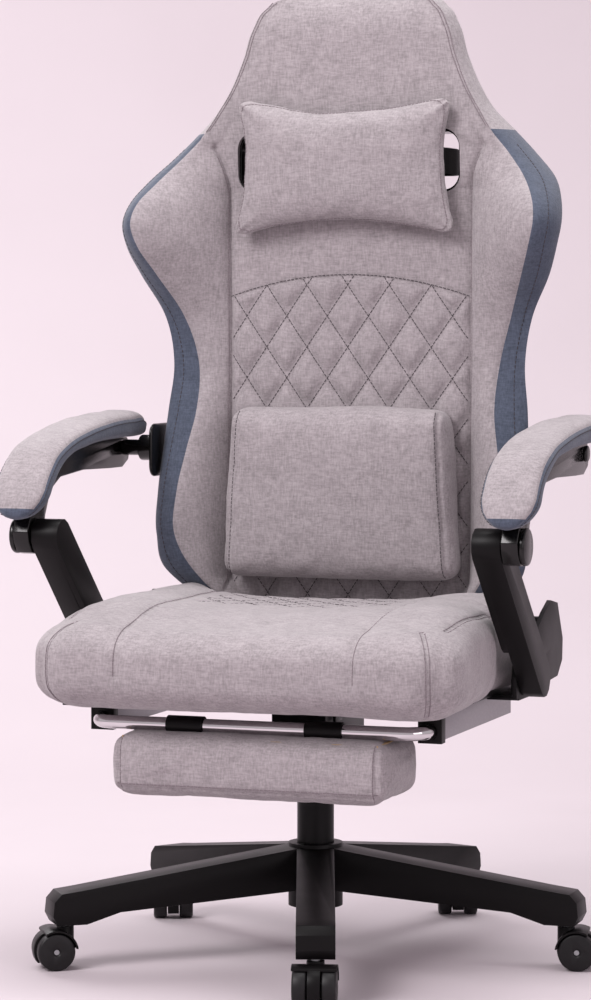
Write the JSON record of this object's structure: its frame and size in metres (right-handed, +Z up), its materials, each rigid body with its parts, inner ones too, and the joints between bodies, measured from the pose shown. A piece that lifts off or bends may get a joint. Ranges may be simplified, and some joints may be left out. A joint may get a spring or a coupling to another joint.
{
  "type": "gaming chair",
  "caption": "Upholstered reclining office and gaming chair with linked armrests, retractable footrest, gas lift and twin-wheel casters on a star base.",
  "frame": {"origin": "on the floor under the gas lift's axis", "axes": "+Z up, the chair faces -Y, +X is the sitter's left"},
  "size_m": [0.7682, 0.7604, 1.31],
  "materials": {
    "nylon_black": "moulded matte",
    "abs_gloss_black": "glossy moulded",
    "steel_black": "satin powder coat",
    "steel_zinc": "zinc plated",
    "chrome": "polished",
    "rail_silver": "satin",
    "linen_grey": "woven linen look",
    "suede_blue_grey": "brushed suede",
    "webbing_black": "elastic webbing",
    "nonwoven_black": "spunbond lining",
    "wheel_black": "PU tyre",
    "plywood": "bare"
  },
  "bodies": {
    "base": {"star_base": "nylon_black", "gas_lift_tube": "steel_black", "guide_bush": "nylon_black"},
    "piston": {"piston_rod": "steel_zinc", "rod_bearing_and_clip": "steel_zinc"},
    "mechanism": {"gas_cylinder": "chrome", "tilt_housing": "steel_black", "tilt_pin": "steel_zinc", "tilt_spring": "steel_zinc"},
    "knob": {"tension_knob": "nylon_black"},
    "lift_lever": {"height_lever": "nylon_black"},
    "seat": {"seat_plate": "steel_black", "seat_bolts": "steel_zinc", "seat_cushion": "linen_grey", "seat_frame": "steel_black", "seat_webbing": "webbing_black", "dust_cover": "nonwoven_black", "footrest_rails": "rail_silver", "rail_end_blocks": "nylon_black", "recliner_plates": "steel_black", "recliner_covers": "nylon_black"},
    "recliner_handle": {"recline_lever": "nylon_black"},
    "back": {"back_brackets": "steel_black", "recline_shaft": "steel_zinc", "back_cushion": "linen_grey", "back_frame": "steel_black", "harness_bezels": "abs_gloss_black", "wing_left": "suede_blue_grey", "wing_right": "suede_blue_grey", "arm_mounts": "abs_gloss_black"},
    "head_support": {"head_pillow": "linen_grey", "head_pillow_strap": "webbing_black"},
    "lumbar_support": {"lumbar_pillow": "linen_grey"},
    "footrest": {"footrest_bar": "chrome"},
    "foot_cushion": {"foot_pad": "linen_grey", "foot_pad_board": "plywood", "foot_pad_sleeves": "nylon_black"},
    "armrest_left": {"arm_pad_left": "linen_grey", "arm_frame_left": "abs_gloss_black", "arm_caps_left": "abs_gloss_black"},
    "arm_strut_left": {"strut_left": "nylon_black"},
    "armrest_right": {"arm_pad_right": "linen_grey", "arm_frame_right": "abs_gloss_black", "arm_caps_right": "abs_gloss_black"},
    "arm_strut_right": {"strut_right": "nylon_black"},
    "caster_1": {"caster_hood_1": "nylon_black", "caster_pins_1": "steel_zinc"},
    "wheels_1": {"caster_wheels_1": "wheel_black"},
    "caster_2": {"caster_hood_2": "nylon_black", "caster_pins_2": "steel_zinc"},
    "wheels_2": {"caster_wheels_2": "wheel_black"},
    "caster_3": {"caster_hood_3": "nylon_black", "caster_pins_3": "steel_zinc"},
    "wheels_3": {"caster_wheels_3": "wheel_black"},
    "caster_4": {"caster_hood_4": "nylon_black", "caster_pins_4": "steel_zinc"},
    "wheels_4": {"caster_wheels_4": "wheel_black"},
    "caster_5": {"caster_hood_5": "nylon_black", "caster_pins_5": "steel_zinc"},
    "wheels_5": {"caster_wheels_5": "wheel_black"}
  },
  "joints": [
    {"name": "caster_swivel_1", "type": "hinge", "parent": "base", "child": "caster_1", "pos_m": [0.11395, -0.33093, 0.06], "axis": [0, 0, 1], "continuous": true},
    {"name": "caster_roll_1", "type": "hinge", "parent": "caster_1", "child": "wheels_1", "pos_m": [0.11809, -0.34639, 0.025], "axis": [0.9659, 0.2588, 0], "continuous": true},
    {"name": "caster_swivel_2", "type": "hinge", "parent": "base", "child": "caster_2", "pos_m": [0.34995, 0.00611, 0.06], "axis": [0, 0, 1], "continuous": true},
    {"name": "caster_roll_2", "type": "hinge", "parent": "caster_2", "child": "wheels_2", "pos_m": [0.3657, 0.00889, 0.025], "axis": [-0.1736, 0.9848, 0], "continuous": true},
    {"name": "caster_swivel_3", "type": "hinge", "parent": "base", "child": "caster_3", "pos_m": [0.10233, 0.33471, 0.06], "axis": [0, 0, 1], "continuous": true},
    {"name": "caster_roll_3", "type": "hinge", "parent": "caster_3", "child": "wheels_3", "pos_m": [0.09712, 0.34983, 0.025], "axis": [-0.9455, -0.3256, 0], "continuous": true},
    {"name": "caster_swivel_4", "type": "hinge", "parent": "base", "child": "caster_4", "pos_m": [-0.2867, 0.20075, 0.06], "axis": [0, 0, 1], "continuous": true},
    {"name": "caster_roll_4", "type": "hinge", "parent": "caster_4", "child": "wheels_4", "pos_m": [-0.28071, 0.18592, 0.025], "axis": [0.9272, 0.3746, 0], "continuous": true},
    {"name": "caster_swivel_5", "type": "hinge", "parent": "base", "child": "caster_5", "pos_m": [-0.27952, -0.21064, 0.06], "axis": [0, 0, 1], "continuous": true},
    {"name": "caster_roll_5", "type": "hinge", "parent": "caster_5", "child": "wheels_5", "pos_m": [-0.29279, -0.21958, 0.025], "axis": [0.5592, -0.829, 0], "continuous": true},
    {"name": "seat_swivel", "type": "hinge", "parent": "base", "child": "piston", "pos_m": [0, 0, 0.07], "axis": [0, 0, 1], "continuous": true},
    {"name": "seat_lift", "type": "slide", "parent": "piston", "child": "mechanism", "axis": [0, 0, 1], "range_m": [0, 0.08]},
    {"name": "seat_tilt", "type": "hinge", "parent": "mechanism", "child": "seat", "pos_m": [0, -0.031, 0.334], "axis": [-1, 0, 0], "range_deg": [0, 10], "stiffness_Nm_per_rad": 260, "springref_deg": -14.32},
    {"name": "tension_knob_turn", "type": "hinge", "parent": "mechanism", "child": "knob", "pos_m": [0, -0.053, 0.25], "axis": [0, 0, 1], "continuous": true},
    {"name": "height_lever_lift", "type": "hinge", "parent": "mechanism", "child": "lift_lever", "pos_m": [-0.034, 0.024, 0.286], "axis": [0, 1, 0], "range_deg": [0, 4], "stiffness_Nm_per_rad": 12, "springref_deg": -2.86},
    {"name": "recline", "type": "hinge", "parent": "seat", "child": "back", "pos_m": [0, 0.165, 0.405], "axis": [-1, 0, 0], "range_deg": [0, 60]},
    {"name": "recline_lever_pull", "type": "hinge", "parent": "seat", "child": "recliner_handle", "pos_m": [-0.297, 0.125, 0.419], "axis": [1, 0, 0], "range_deg": [0, 18], "stiffness_Nm_per_rad": 3, "springref_deg": -8.59},
    {"name": "arm_turn_left", "type": "hinge", "parent": "back", "child": "armrest_left", "pos_m": [0, 0.104, 0.68], "axis": [1, 0, 0], "range_deg": [0, 31]},
    {"name": "strut_turn_left", "type": "hinge", "parent": "seat", "child": "arm_strut_left", "pos_m": [0, 0, 0.386], "axis": [-1, 0, 0], "range_deg": [0, 61]},
    {"name": "arm_turn_right", "type": "hinge", "parent": "back", "child": "armrest_right", "pos_m": [0, 0.104, 0.68], "axis": [1, 0, 0], "range_deg": [0, 31]},
    {"name": "strut_turn_right", "type": "hinge", "parent": "seat", "child": "arm_strut_right", "pos_m": [0, 0, 0.386], "axis": [-1, 0, 0], "range_deg": [0, 61]},
    {"name": "footrest_pull", "type": "slide", "parent": "seat", "child": "footrest", "axis": [0, -1, 0], "range_m": [0, 0.23]},
    {"name": "foot_pad_flip", "type": "hinge", "parent": "footrest", "child": "foot_cushion", "pos_m": [0, -0.24, 0.335], "axis": [-1, 0, 0], "range_deg": [0, 180]},
    {"name": "head_pillow_slide", "type": "slide", "parent": "back", "child": "head_support", "axis": [0, 0, 1], "range_m": [-0.02, 0.02]},
    {"name": "lumbar_slide", "type": "slide", "parent": "back", "child": "lumbar_support", "axis": [0, 0, 1], "range_m": [-0.02, 0.06]}
  ],
  "couplings": [
    {"joint": "arm_turn_left", "follows": "recline", "ratio": 0.503},
    {"joint": "strut_turn_left", "follows": "recline", "ratio": 1.003},
    {"joint": "arm_turn_right", "follows": "recline", "ratio": 0.503},
    {"joint": "strut_turn_right", "follows": "recline", "ratio": 1.003},
    {"joint": "foot_pad_flip", "follows": "footrest_pull", "rad_per_m": 13.65}
  ]
}
